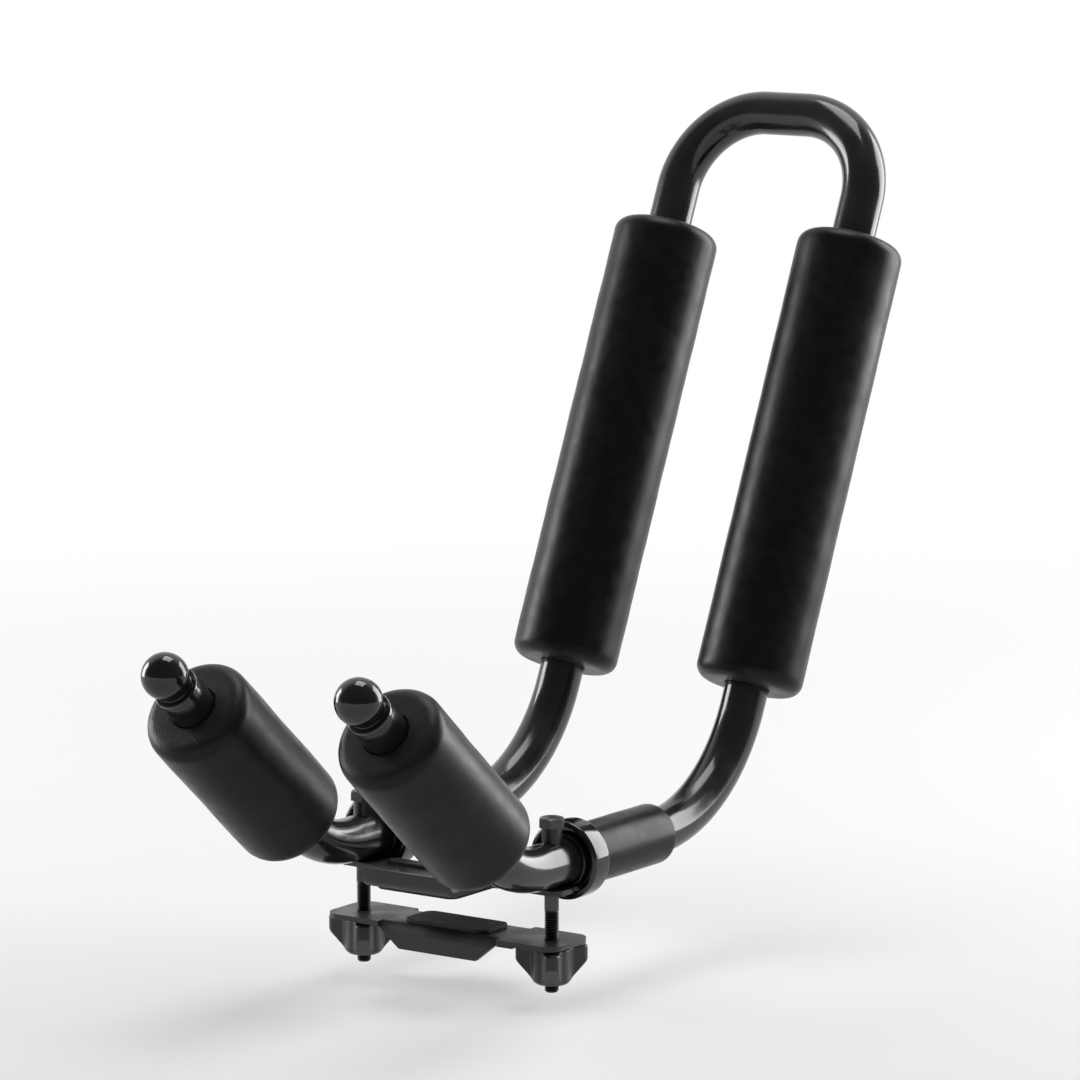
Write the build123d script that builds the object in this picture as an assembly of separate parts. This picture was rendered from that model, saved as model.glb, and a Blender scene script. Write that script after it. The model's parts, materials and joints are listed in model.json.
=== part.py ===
from build123d import *
import os
from math import radians, sqrt, tan

# J-style kayak carrier: a bent-tube cradle, its foam pads, and the clamp that grips a rack's crossbar.
# Millimetres. +Z is up, the crossbar runs along Y and the vehicle's length along X. The origin is the
# centre of the saddle's bearing face on top of the crossbar, midway between the two clamp bolts.
# "front" pieces lie at +X and "rear" pieces at -X. The short arms rise towards -Y, the tall ones towards +Y.

# Bent tube
TUBE_OD = 25.4
TUBE_WALL = 1.8
LEG_SPACING = 128.0
SHORT_RISE = 41.0
SHORT_BEND_R = 75.0
TALL_RISE = 66.0
TALL_BEND_R = 100.0
LOOP_FLAT = 28.0
TUBE_STUB = 17.0
LOOP_STUB = 25.0
BEND_TO_SHORT_PAD = 4.0
BEND_TO_TALL_PAD = 10.0
SADDLE_TO_BEND = 2.5
BASE_PAD_TO_BEND = 2.0

# Foam sleeves
SHORT_PAD_LENGTH = 115.0
TALL_PAD_LENGTH = 270.0
THICK_PAD_WALL = 18.0
THICK_PAD_EDGE = 8.0
BASE_PAD_LENGTH = 72.0
BASE_PAD_WALL = 4.2
BASE_PAD_EDGE = 1.8
PAD_CLEARANCE = 0.2

# Ball caps
BALL_D = 26.0
CAP_NECK_D = 19.0
CAP_NECK_LENGTH = 2.0
CAP_FLANGE = 3.0
CAP_EDGE = 0.9
PLUG_LENGTH = 22.0
PLUG_RIB = 1.0
PLUG_RIBS = 3
PLUG_CLEARANCE = 0.1

# Collars on the base runs
COLLAR_LENGTH = 15.0
COLLAR_WALL = 9.2
COLLAR_EDGE = 2.0
COLLAR_RIM = 3.0
COLLAR_HUB = 2.2
COLLAR_RECESS = 6.0
COLLAR_FLOOR_R = 1.2
COLLAR_CLEARANCE = 0.1
SIDE_GAP = 0.5

# Saddle on top of the crossbar
SADDLE_THICKNESS = 3.0
SADDLE_LENGTH = 96.0
SADDLE_WIDTH = 58.0
SADDLE_LIP = 8.0
SADDLE_BEND_R = 3.0
SADDLE_ARM_WIDTH = 19.0
SADDLE_ARM_END = 11.0
SADDLE_CORNER_R = 6.0
BEAD_WIDTH = 9.0
BEAD_HEIGHT = 2.5
BEAD_EDGE = 2.0
BEAD_TO_TUBE = 5.0
LINER_THICKNESS = 2.0
LINER_MARGIN = 2.0
TUBE_SEAT_GAP = 0.1

# Clamp bolts and spacers
BOLT_D = 8.0
BOLT_LENGTH = 92.0
BOLT_HEAD_AF = 13.0
BOLT_HEAD_HEIGHT = 5.3
BOLT_TIP_CHAMFER = 1.0
BOLT_HOLE_CLEARANCE = 0.3
SPACER_OD = 11.0
SPACER_HEIGHT = 8.0

# Jaw under the crossbar
CROSSBAR_HEIGHT = 22.0
JAW_THICKNESS = 3.0
JAW_WIDTH = 38.0
JAW_BEND_R = 3.0
JAW_FLANGE = 11.0
JAW_TAPER = 14.0
JAW_END = 14.0
JAW_CORNER_R = 9.0
JAW_LINER_LENGTH = 56.0

# Wing knobs
WASHER_OD = 16.0
WASHER_THICKNESS = 1.6
KNOB_R = 22.0
KNOB_HEIGHT = 20.0
KNOB_WINGS = 3
KNOB_TURN = 65.0
KNOB_WING_WIDTH = 9.0
KNOB_HUB_D = 21.0
KNOB_RIM_HEIGHT = 8.0
KNOB_FOOT_INSET = 2.0
KNOB_EDGE = 1.4
KNOB_ROOT_R = 5.0
KNOB_NUT_AF = 13.0
KNOB_NUT_HEIGHT = 6.5
THREAD_CLEARANCE = 0.06
NUT_CLEARANCE = 0.05
KNOB_GAP = 0.1
KNOB_TO_FLANGE = 2.0

# Levels up the clamp
SADDLE_TOP = LINER_THICKNESS + SADDLE_THICKNESS
TUBE_R = TUBE_OD / 2
TUBE_Z = SADDLE_TOP + TUBE_SEAT_GAP + TUBE_R
HEAD_SEAT_Z = TUBE_Z + TUBE_R + SPACER_HEIGHT
JAW_FACE_Z = -CROSSBAR_HEIGHT
JAW_TOP = JAW_FACE_Z - LINER_THICKNESS
JAW_BOTTOM = JAW_TOP - JAW_THICKNESS
KNOB_TOP = JAW_BOTTOM - WASHER_THICKNESS - KNOB_GAP

# Places along the tube
LEG_X = LEG_SPACING / 2
LOOP_BEND_R = (LEG_SPACING - LOOP_FLAT) / 2
SHORT_TANGENT = SHORT_BEND_R * tan(radians(SHORT_RISE / 2))
TALL_TANGENT = TALL_BEND_R * tan(radians(TALL_RISE / 2))
COLLAR_Y = SADDLE_ARM_WIDTH / 2 + SIDE_GAP
BASE_PAD_Y = COLLAR_Y + COLLAR_LENGTH + SIDE_GAP
SHORT_VERTEX_Y = -(SADDLE_ARM_WIDTH / 2 + SADDLE_TO_BEND + SHORT_TANGENT)
TALL_VERTEX_Y = BASE_PAD_Y + BASE_PAD_LENGTH + BASE_PAD_TO_BEND + TALL_TANGENT
SHORT_PAD_START = SHORT_TANGENT + BEND_TO_SHORT_PAD
SHORT_ARM_END = SHORT_PAD_START + SHORT_PAD_LENGTH + TUBE_STUB
TALL_PAD_START = TALL_TANGENT + BEND_TO_TALL_PAD
TALL_ARM_END = TALL_PAD_START + TALL_PAD_LENGTH + LOOP_STUB + LOOP_BEND_R

BOLT_HOLE_R = BOLT_D / 2 + BOLT_HOLE_CLEARANCE
HEX_CORNER = 2 / sqrt(3)
# Largest share of a width that one rounded corner may take, and the distance at which points count as one.
ROUND_LIMIT = 0.45
NEAR = 0.01


def short_arm_plane(x, along):
    """Plane square to a short arm, a distance along it from the bend's corner, facing the ball."""
    out = Vector(0, -1, 0).rotate(Axis.X, -SHORT_RISE)
    corner = Vector(x, SHORT_VERTEX_Y, TUBE_Z)
    return Plane(corner + out * along, x_dir=(1, 0, 0), z_dir=out)


def tall_arm_plane(x, along):
    """Plane square to a tall arm, a distance along it from the bend's corner, facing the loop."""
    out = Vector(0, 1, 0).rotate(Axis.X, TALL_RISE)
    corner = Vector(x, TALL_VERTEX_Y, TUBE_Z)
    return Plane(corner + out * along, x_dir=(1, 0, 0), z_dir=out)


def base_plane(x, y):
    """Plane square to a base run, facing the tall arm."""
    return Plane((x, y, TUBE_Z), x_dir=(1, 0, 0), z_dir=(0, 1, 0))


def upright(x, radius, bottom, top):
    """Cylinder on a clamp bolt's axis between two levels."""
    return Pos(x, 0, bottom) * extrude(Circle(radius), amount=top - bottom)


def bolt_holes(bottom, top):
    """The pair of clearance holes for the clamp bolts."""
    return [upright(x, BOLT_HOLE_R, bottom, top) for x in (-LEG_X, LEG_X)]


def cradle_path():
    """Centre line of the tube, from the rear ball, round the loop, to the front ball."""
    half = []
    for x in (-LEG_X, LEG_X):
        half.append(
            [
                short_arm_plane(x, SHORT_ARM_END).origin,
                Vector(x, SHORT_VERTEX_Y, TUBE_Z),
                Vector(x, TALL_VERTEX_Y, TUBE_Z),
                tall_arm_plane(x, TALL_ARM_END).origin,
            ]
        )
    rear, front = half
    bends = [SHORT_BEND_R, TALL_BEND_R, LOOP_BEND_R]
    return FilletPolyline(*rear, *reversed(front), radius=bends + bends[::-1])


def cradle_tube():
    """One round tube bent to shape, drilled through both base runs for the bolts."""
    path = cradle_path()
    ring = Circle(TUBE_R) - Circle(TUBE_R - TUBE_WALL)
    tube = sweep(Plane(path @ 0, z_dir=path % 0) * ring, path=path)
    return tube - bolt_holes(TUBE_Z - TUBE_OD, TUBE_Z + TUBE_OD)


def sleeve(plane, length, wall, edge):
    """Foam sleeve on the tube with rounded outer ends."""
    bore = TUBE_R + PAD_CLEARANCE
    body = extrude(Circle(bore + wall), amount=length)
    body = fillet(body.edges(), min(edge, ROUND_LIMIT * wall))
    return plane * (body - extrude(Circle(bore), amount=length))


def ball_cap(x):
    """Plug with sealing ribs, a flange the size of the tube, a short neck and the ball."""
    rib_r = TUBE_R - TUBE_WALL - PLUG_CLEARANCE
    core_r = rib_r - PLUG_RIB
    pitch = PLUG_LENGTH / (2 * PLUG_RIBS)
    points = [(0, -PLUG_LENGTH), (core_r, -PLUG_LENGTH)]
    for i in range(PLUG_RIBS):
        low = -PLUG_LENGTH + (2 * i + 1) * pitch
        points += [(core_r, low), (rib_r, low + pitch / 2), (rib_r, low + pitch), (core_r, low + pitch)]
    points = points[:-1]
    neck_top = CAP_FLANGE + CAP_NECK_LENGTH
    points += [(TUBE_R, 0), (TUBE_R, CAP_FLANGE), (CAP_NECK_D / 2, CAP_FLANGE), (CAP_NECK_D / 2, neck_top)]
    ball_z = neck_top + sqrt(BALL_D**2 - CAP_NECK_D**2) / 2
    points += [(0, ball_z)]
    section = make_face(Polyline(*points, close=True))
    flange_rim = section.vertices().sort_by_distance((TUBE_R, CAP_FLANGE))[0]
    section = fillet(flange_rim, min(CAP_EDGE, ROUND_LIMIT * CAP_FLANGE))
    stem = revolve(Plane.XZ * section, Axis.Z)
    return short_arm_plane(x, SHORT_ARM_END) * (stem + Pos(0, 0, ball_z) * Sphere(BALL_D / 2))


def collar(x):
    """Moulded collar on a base run: rounded rims, and a ring recess round its hub on the bolt's side."""
    bore = TUBE_R + COLLAR_CLEARANCE
    outer = bore + COLLAR_WALL
    section = Pos((bore + outer) / 2, COLLAR_LENGTH / 2) * Rectangle(COLLAR_WALL, COLLAR_LENGTH)
    edge = min(COLLAR_EDGE, ROUND_LIMIT * COLLAR_WALL, ROUND_LIMIT * COLLAR_LENGTH)
    section = fillet(section.vertices().group_by(Axis.X)[-1], edge)
    recess_width = COLLAR_WALL - COLLAR_RIM - COLLAR_HUB
    recess = Pos(bore + COLLAR_HUB + recess_width / 2, 0) * Rectangle(recess_width, 2 * COLLAR_RECESS)
    floor_r = min(COLLAR_FLOOR_R, ROUND_LIMIT * recess_width)
    recess = fillet(recess.vertices().group_by(Axis.Y)[-1], floor_r)
    body = revolve(Plane.XZ * (section - recess), Axis.Z)
    return base_plane(x, COLLAR_Y) * body


def channel(length, width, depth, thickness, bend_r):
    """Pressed channel along X: web on z = 0, legs up to depth, rounded outside and inside the bends."""
    outer_r = bend_r + thickness
    outer = Pos(0, depth / 2) * Rectangle(width, depth)
    outer = fillet(outer.vertices().group_by(Axis.Y)[0], outer_r)
    inner = Pos(0, thickness + depth / 2) * Rectangle(width - 2 * thickness, depth)
    inner = fillet(inner.vertices().group_by(Axis.Y)[0], bend_r)
    return extrude(Plane.YZ * (outer - inner), amount=length / 2, both=True)


def saddle_plate():
    """Pressed saddle: lipped middle on the crossbar, two arms under the tubes and a stiffening bead."""
    lip_depth = SADDLE_THICKNESS + SADDLE_LIP
    middle = channel(SADDLE_WIDTH, SADDLE_LENGTH, lip_depth, SADDLE_THICKNESS, SADDLE_BEND_R)
    reach = LEG_SPACING + 2 * SADDLE_ARM_END
    arm = RectangleRounded(reach, SADDLE_ARM_WIDTH, min(SADDLE_CORNER_R, ROUND_LIMIT * SADDLE_ARM_WIDTH))
    web = arm + Rectangle(SADDLE_WIDTH, SADDLE_LENGTH - 2 * (SADDLE_THICKNESS + SADDLE_BEND_R))
    inside = [v for v in web.vertices() if abs(abs(v.X) - SADDLE_WIDTH / 2) < NEAR
              and abs(abs(v.Y) - SADDLE_ARM_WIDTH / 2) < NEAR]
    web = fillet(inside, SADDLE_CORNER_R)
    bead_length = LEG_SPACING - TUBE_OD - 2 * BEAD_TO_TUBE
    bead = extrude(SlotOverall(bead_length, BEAD_WIDTH), amount=SADDLE_THICKNESS + BEAD_HEIGHT)
    bead = fillet(bead.edges().group_by(Axis.Z)[-1], BEAD_EDGE)
    hollow_width = BEAD_WIDTH - SADDLE_THICKNESS
    hollow = extrude(SlotOverall(bead_length - SADDLE_THICKNESS, hollow_width), amount=BEAD_HEIGHT)
    plate = middle + extrude(web, amount=SADDLE_THICKNESS) + bead - hollow
    return Pos(0, 0, LINER_THICKNESS) * plate - bolt_holes(0, SADDLE_TOP + BEAD_HEIGHT)


def liner(length, width, bottom):
    """Rubber liner, flat on both faces with rounded corners."""
    corner = min(SADDLE_CORNER_R, ROUND_LIMIT * length, ROUND_LIMIT * width)
    return Pos(0, 0, bottom) * extrude(RectangleRounded(length, width, corner), amount=LINER_THICKNESS)


def saddle_liner():
    """Liner under the flat of the saddle's web."""
    flat = SADDLE_LENGTH - 2 * (SADDLE_THICKNESS + SADDLE_BEND_R)
    return liner(SADDLE_WIDTH - 2 * LINER_MARGIN, flat - 2 * LINER_MARGIN, 0)


def jaw_plate():
    """Pressed jaw: flat ears for the bolts, and flanges that taper away before the knobs."""
    flange_end = LEG_X - KNOB_R - KNOB_TO_FLANGE
    depth = JAW_THICKNESS + JAW_FLANGE
    body = Rot(180, 0, 0) * channel(2 * flange_end, JAW_WIDTH, depth, JAW_THICKNESS, JAW_BEND_R)
    slope = Polyline(
        (flange_end - JAW_TAPER, -depth),
        (flange_end, -JAW_THICKNESS),
        (flange_end, -depth),
        close=True,
    )
    wedge = extrude(Plane.XZ * make_face(slope), amount=JAW_WIDTH, both=True)
    body -= [wedge, mirror(wedge, about=Plane.YZ)]
    reach = LEG_SPACING + 2 * JAW_END
    flat_width = JAW_WIDTH - 2 * (JAW_THICKNESS + JAW_BEND_R)
    ears = RectangleRounded(reach, JAW_WIDTH, min(JAW_CORNER_R, ROUND_LIMIT * JAW_WIDTH))
    gap = Rectangle(2 * flange_end, JAW_WIDTH) - Rectangle(2 * flange_end, flat_width)
    body += extrude(ears - gap, amount=-JAW_THICKNESS)
    return Pos(0, 0, JAW_TOP) * body - bolt_holes(JAW_BOTTOM, JAW_TOP)


def jaw_liner():
    """Liner on the flat of the jaw's web, under the crossbar."""
    flat = JAW_WIDTH - 2 * (JAW_THICKNESS + JAW_BEND_R)
    return liner(JAW_LINER_LENGTH, flat, JAW_TOP)


def bolt_spacer(x):
    """Sleeve under a bolt head, hollowed below to sit on the round tube."""
    body = upright(x, SPACER_OD / 2, TUBE_Z, HEAD_SEAT_Z)
    run = base_plane(x, -SPACER_OD) * extrude(Circle(TUBE_R), amount=2 * SPACER_OD)
    return body - run - upright(x, BOLT_HOLE_R, TUBE_Z, HEAD_SEAT_Z)


def hex_prism(across_flats, height):
    """Hexagon prism standing on z = 0."""
    return extrude(RegularPolygon(across_flats * HEX_CORNER / 2, 6), amount=height)


def clamp_bolt(x):
    """Hex bolt: chamfered head, plain shank and chamfered tip."""
    crown = extrude(Circle(BOLT_HEAD_AF * HEX_CORNER / 2), amount=BOLT_HEAD_HEIGHT)
    crown = chamfer(crown.edges().group_by(Axis.Z)[-1], BOLT_HEAD_AF * (HEX_CORNER - 1) / 2)
    head = hex_prism(BOLT_HEAD_AF, BOLT_HEAD_HEIGHT) & crown
    shank = extrude(Circle(BOLT_D / 2), amount=-BOLT_LENGTH)
    shank = chamfer(shank.edges().group_by(Axis.Z)[0], BOLT_TIP_CHAMFER)
    return Pos(x, 0, HEAD_SEAT_Z) * (head + shank)


def thrust_washer(x):
    """Flat washer between jaw and knob."""
    low = JAW_BOTTOM - WASHER_THICKNESS
    return upright(x, WASHER_OD / 2, low, JAW_BOTTOM) - upright(x, BOLT_HOLE_R, low, JAW_BOTTOM)


def knob_nut(x):
    """Hex nut held in the top of a wing knob."""
    body = hex_prism(KNOB_NUT_AF, KNOB_NUT_HEIGHT)
    body -= extrude(Circle(BOLT_D / 2 + THREAD_CLEARANCE), amount=KNOB_NUT_HEIGHT)
    return Pos(x, 0, KNOB_TOP - KNOB_NUT_HEIGHT) * body


def wing_knob(x):
    """Moulded knob: wings blended into a hub in plan, narrowed to a foot from the side, edges rounded."""
    hub = Circle(KNOB_HUB_D / 2)
    wing = Pos(KNOB_R / 2, 0) * Rectangle(KNOB_R, KNOB_WING_WIDTH)
    wing = fillet(wing.vertices().group_by(Axis.X)[-1], ROUND_LIMIT * KNOB_WING_WIDTH)
    plan = hub + [Rot(0, 0, KNOB_TURN + 360 / KNOB_WINGS * i) * wing for i in range(KNOB_WINGS)]
    roots = [v for v in plan.vertices() if abs(Vector(v).length - KNOB_HUB_D / 2) < NEAR]
    plan = fillet(roots, KNOB_ROOT_R)
    side = make_face(
        Polyline(
            (0, 0),
            (KNOB_R, 0),
            (KNOB_R, -KNOB_RIM_HEIGHT),
            (KNOB_HUB_D / 2 - KNOB_FOOT_INSET, -KNOB_HEIGHT),
            (0, -KNOB_HEIGHT),
            close=True,
        )
    )
    body = extrude(plan, amount=-KNOB_HEIGHT) & revolve(Plane.XZ * side, Axis.Z)
    body = fillet(body.edges(), KNOB_EDGE)
    body -= Pos(0, 0, -KNOB_NUT_HEIGHT) * hex_prism(KNOB_NUT_AF + 2 * NUT_CLEARANCE, KNOB_NUT_HEIGHT)
    body -= extrude(Circle(BOLT_HOLE_R), amount=-KNOB_HEIGHT)
    return Pos(x, 0, KNOB_TOP) * body


def carrier():
    """All pieces by name."""
    pieces = {
        "cradle_tube": cradle_tube(),
        "saddle_plate": saddle_plate(),
        "saddle_liner": saddle_liner(),
        "jaw_plate": jaw_plate(),
        "jaw_liner": jaw_liner(),
    }
    for side, x in (("front", LEG_X), ("rear", -LEG_X)):
        short = short_arm_plane(x, SHORT_PAD_START)
        tall = tall_arm_plane(x, TALL_PAD_START)
        base = base_plane(x, BASE_PAD_Y)
        pieces[f"{side}_short_pad"] = sleeve(short, SHORT_PAD_LENGTH, THICK_PAD_WALL, THICK_PAD_EDGE)
        pieces[f"{side}_tall_pad"] = sleeve(tall, TALL_PAD_LENGTH, THICK_PAD_WALL, THICK_PAD_EDGE)
        pieces[f"{side}_base_pad"] = sleeve(base, BASE_PAD_LENGTH, BASE_PAD_WALL, BASE_PAD_EDGE)
        pieces[f"{side}_ball_cap"] = ball_cap(x)
        pieces[f"{side}_collar"] = collar(x)
        pieces[f"{side}_bolt_spacer"] = bolt_spacer(x)
        pieces[f"{side}_clamp_bolt"] = clamp_bolt(x)
        pieces[f"{side}_thrust_washer"] = thrust_washer(x)
        pieces[f"{side}_wing_knob"] = wing_knob(x)
        pieces[f"{side}_knob_nut"] = knob_nut(x)
    return pieces


os.makedirs("parts", exist_ok=True)
for name, shape in carrier().items():
    export_step(shape, f"parts/{name}.step")
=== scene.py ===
"""Looks of a J-style kayak carrier, made round its packed construction model.

Metres throughout, in the construction model's own frame: +Z is up, the crossbar runs along Y and the
vehicle's length along X. Front pieces lie at +X and rear pieces at -X. The short arms rise towards -Y
and the tall arms towards +Y.
"""

import json
import logging
from dataclasses import dataclass, field
from enum import Enum
from functools import cache
from math import asin, cos, pi, radians, sin, sqrt, tan
from typing import Any

import bmesh
import bpy
import numpy as np
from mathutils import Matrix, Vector


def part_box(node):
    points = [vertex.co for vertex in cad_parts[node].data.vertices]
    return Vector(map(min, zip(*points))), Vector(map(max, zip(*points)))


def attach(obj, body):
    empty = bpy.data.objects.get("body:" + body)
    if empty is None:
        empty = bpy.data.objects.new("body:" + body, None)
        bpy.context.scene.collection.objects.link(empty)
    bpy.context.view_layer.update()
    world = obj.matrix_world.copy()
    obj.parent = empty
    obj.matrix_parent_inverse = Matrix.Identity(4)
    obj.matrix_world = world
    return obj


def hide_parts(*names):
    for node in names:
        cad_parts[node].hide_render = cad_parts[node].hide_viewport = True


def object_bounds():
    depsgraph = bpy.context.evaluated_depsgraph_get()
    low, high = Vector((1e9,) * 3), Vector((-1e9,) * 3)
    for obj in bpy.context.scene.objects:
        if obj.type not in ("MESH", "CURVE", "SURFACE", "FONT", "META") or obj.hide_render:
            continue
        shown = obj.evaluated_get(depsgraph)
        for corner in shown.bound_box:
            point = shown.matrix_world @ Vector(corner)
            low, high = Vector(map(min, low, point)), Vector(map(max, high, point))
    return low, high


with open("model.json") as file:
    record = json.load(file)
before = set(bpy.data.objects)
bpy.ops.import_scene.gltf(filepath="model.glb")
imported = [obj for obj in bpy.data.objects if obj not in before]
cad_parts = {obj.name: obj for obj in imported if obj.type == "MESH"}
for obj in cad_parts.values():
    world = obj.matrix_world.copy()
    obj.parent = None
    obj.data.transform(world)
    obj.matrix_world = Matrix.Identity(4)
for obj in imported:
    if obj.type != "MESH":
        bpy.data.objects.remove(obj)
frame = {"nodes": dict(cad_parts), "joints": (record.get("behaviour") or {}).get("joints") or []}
CAD_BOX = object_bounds()

LOG = logging.getLogger("kayak_carrier")
MM = 0.001
WELD = 0.002 * MM
NEAR_SHARE = 0.4
FLAT_ANGLE = radians(0.5)
SOLID_CREASE = radians(30)
SURFACE_CREASE = radians(35)
BEVEL_ANGLE = radians(40)
BEVEL_SEGMENTS = 3
X_AXIS = np.array([1.0, 0.0, 0.0])
Y_AXIS = np.array([0.0, 1.0, 0.0])
Z_AXIS = np.array([0.0, 0.0, 1.0])

Array = np.ndarray
Rgb = tuple[float, float, float]
Band = tuple[float, float]
Wrap = tuple[bool, bool]
Node = bpy.types.Node
Socket = bpy.types.NodeSocket

WHITE: Rgb = (1.0, 1.0, 1.0)
WHOLE: Band = (0.0, 1.0)


class Side(Enum):
    """The two legs of the cradle, by the sign of their X."""

    FRONT = 1
    REAR = -1

    def named(self, piece: str) -> str:
        """A piece's name on this leg."""
        return f"{self.name.lower()}_{piece}"

    def knob(self) -> "Body":
        """The body of this leg's knob."""
        return Body(self.named("knob"))


class Body(Enum):
    """Bodies that move as one."""

    CRADLE = "cradle"
    JAW = "jaw"
    FRONT_KNOB = "front_knob"
    REAR_KNOB = "rear_knob"


class Slot(Enum):
    """Material slots of the record."""

    TUBE_PAINT = "tube_paint"
    PLATE_PAINT = "plate_paint"
    FOAM = "foam"
    GLOSS_MOULDING = "gloss_moulding"
    KNOB_MOULDING = "knob_moulding"
    LINER_RUBBER = "liner_rubber"
    PLATED_STEEL = "plated_steel"


# Surfaces


def unit(vectors: Array) -> Array:
    """Vectors scaled to length one along the last axis."""
    return vectors / np.linalg.norm(vectors, axis=-1, keepdims=True)


def full_turn(segments: int) -> Array:
    """Angles of a full turn, without the repeated last one."""
    return np.linspace(0.0, 2 * pi, segments, endpoint=False)


def rounded_route(corners: Array, radii: list[float], steps: int) -> tuple[Array, Array]:
    """Route through corner points, with each inner corner replaced by a tangent arc.

    An arc of radius R at a corner that turns by p starts R tan(p / 2) before the corner. With d the
    incoming direction and n the unit normal towards the arc's centre, its points are
    start + R sin(a) d + R (1 - cos(a)) n and its tangents cos(a) d + sin(a) n, for a from 0 to p.

    Args:
        corners: Corner points, of shape (count, dimensions).
        radii: One radius for each inner corner.
        steps: Number of chords in each arc.

    Returns:
        Points and unit tangents along the route, both of shape (points, dimensions).
    """
    reach = np.asarray(radii, float)
    legs = unit(np.diff(corners, axis=0))
    before, after = legs[:-1], legs[1:]
    turn = np.arccos(np.clip((before * after).sum(axis=1), -1.0, 1.0))
    start = corners[1:-1] - (reach * np.tan(turn / 2))[:, None] * before
    inward = unit(after - np.cos(turn)[:, None] * before)
    angle = turn[:, None] * np.linspace(0.0, 1.0, steps + 1)
    rise, run = np.sin(angle)[..., None], np.cos(angle)[..., None]
    bow = rise * before[:, None] + (1.0 - run) * inward[:, None]
    arcs = start[:, None] + reach[:, None, None] * bow
    heads = run * before[:, None] + rise * inward[:, None]
    size = corners.shape[1]
    points = np.concatenate([corners[:1], arcs.reshape(-1, size), corners[-1:]])
    tangents = np.concatenate([legs[:1], heads.reshape(-1, size), legs[-1:]])
    return points, tangents


def spaced(points: Array, spacing: float) -> Array:
    """Polyline with points added on its long stretches, about a given distance apart.

    An added point that would lie too near one of the line's own is left out.

    Args:
        points: Points of shape (count, dimensions).
        spacing: Distance between the added points.

    Returns:
        The points and the added ones, in order along the line.
    """
    run = np.concatenate([[0.0], np.cumsum(np.linalg.norm(np.diff(points, axis=0), axis=1))])
    even = np.arange(spacing, run[-1], spacing)
    clear = np.abs(even[:, None] - run[None, :]).min(axis=1) > NEAR_SHARE * spacing
    at = np.sort(np.concatenate([run, even[clear]]))
    return np.stack([np.interp(at, run, column) for column in points.T], axis=1)


def grid_quads(rows: int, columns: int, wrap: Wrap) -> Array:
    """Corner indices of a grid's quads.

    Quad (i, j) joins the points (i, j), (i, j + 1), (i + 1, j + 1) and (i + 1, j), with the indices
    taken modulo the grid's size in a direction that wraps.

    Args:
        rows: Number of rows of points.
        columns: Number of points in a row.
        wrap: Whether the rows, and the columns, join up end to end.

    Returns:
        Indices of shape (quads, 4).
    """
    i = np.arange(rows if wrap[0] else rows - 1)[:, None]
    j = np.arange(columns if wrap[1] else columns - 1)[None, :]
    next_i, next_j = (i + 1) % rows, (j + 1) % columns
    row, next_row = i * columns, next_i * columns
    corners = [row + j, row + next_j, next_row + next_j, next_row + j]
    return np.stack(corners, axis=-1).reshape(-1, 4)


def merge_seams(mesh: bpy.types.Mesh, flatten: float) -> None:
    """Merge the points that meet at seams and poles, and optionally the triangles of flat faces.

    Args:
        mesh: The mesh to change.
        flatten: Angle in radians under which neighbouring faces become one, or zero for none.
    """
    work = bmesh.new()
    work.from_mesh(mesh)
    bmesh.ops.remove_doubles(work, verts=work.verts, dist=WELD)
    if flatten:
        bmesh.ops.dissolve_limit(work, angle_limit=flatten, verts=work.verts, edges=work.edges)
    work.to_mesh(mesh)
    work.free()


def mesh_object(
    name: str,
    points: Array,
    faces: Array,
    crease: float,
    masks: dict[str, Array] | None = None,
    flatten: float = 0.0,
) -> bpy.types.Object:
    """Mesh object at the origin, smooth apart from its creases.

    Args:
        name: Name of the object.
        points: Points of shape (count, 3).
        faces: Point indices of shape (faces, corners).
        crease: Angle between faces, in radians, above which an edge stays sharp.
        masks: Values from 0 to 1 at the points, each kept as a point attribute.
        flatten: Angle in radians under which neighbouring faces become one, or zero for none.

    Returns:
        The object, linked into the scene.
    """
    mesh = bpy.data.meshes.new(name)
    mesh.vertices.add(len(points))
    mesh.vertices.foreach_set("co", points.astype(np.float32).ravel())
    mesh.loops.add(faces.size)
    mesh.loops.foreach_set("vertex_index", faces.astype(np.int32).ravel())
    mesh.polygons.add(len(faces))
    starts = np.arange(0, faces.size, faces.shape[1], dtype=np.int32)
    mesh.polygons.foreach_set("loop_start", starts)
    mesh.update(calc_edges=True)
    for mask, values in (masks or {}).items():
        layer = mesh.attributes.new(mask, "FLOAT", "POINT")
        layer.data.foreach_set("value", values.astype(np.float32).ravel())
    merge_seams(mesh, flatten)
    mesh.shade_smooth()
    mesh.set_sharp_from_angle(angle=crease)
    made = bpy.data.objects.new(name, mesh)
    bpy.context.scene.collection.objects.link(made)
    return made


def surface(
    name: str,
    points: Array,
    wrap: Wrap = (False, True),
    masks: dict[str, Array] | None = None,
    crease: float = SURFACE_CREASE,
) -> bpy.types.Object:
    """Closed surface through a grid of points, with its faces turned outwards.

    The sign of the enclosed volume, a sixth of the sum of a . (b x c) over the triangles, tells which
    way the faces point.

    Args:
        name: Name of the object.
        points: Grid of shape (rows, columns, 3).
        wrap: Whether the rows, and the columns, join up end to end.
        masks: Values from 0 to 1 over the grid, each kept as a point attribute.
        crease: Angle in radians above which an edge stays sharp.

    Returns:
        The object, linked into the scene.
    """
    rows, columns, _ = points.shape
    flat = points.reshape(-1, 3)
    quads = grid_quads(rows, columns, wrap)
    a, b, c, d = (flat[quads[:, corner]] for corner in range(4))
    volume = (a * (np.cross(b, c) + np.cross(c, d))).sum()
    outward = quads if volume > 0 else quads[:, ::-1]
    return mesh_object(name, flat, outward, crease, masks)


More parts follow.
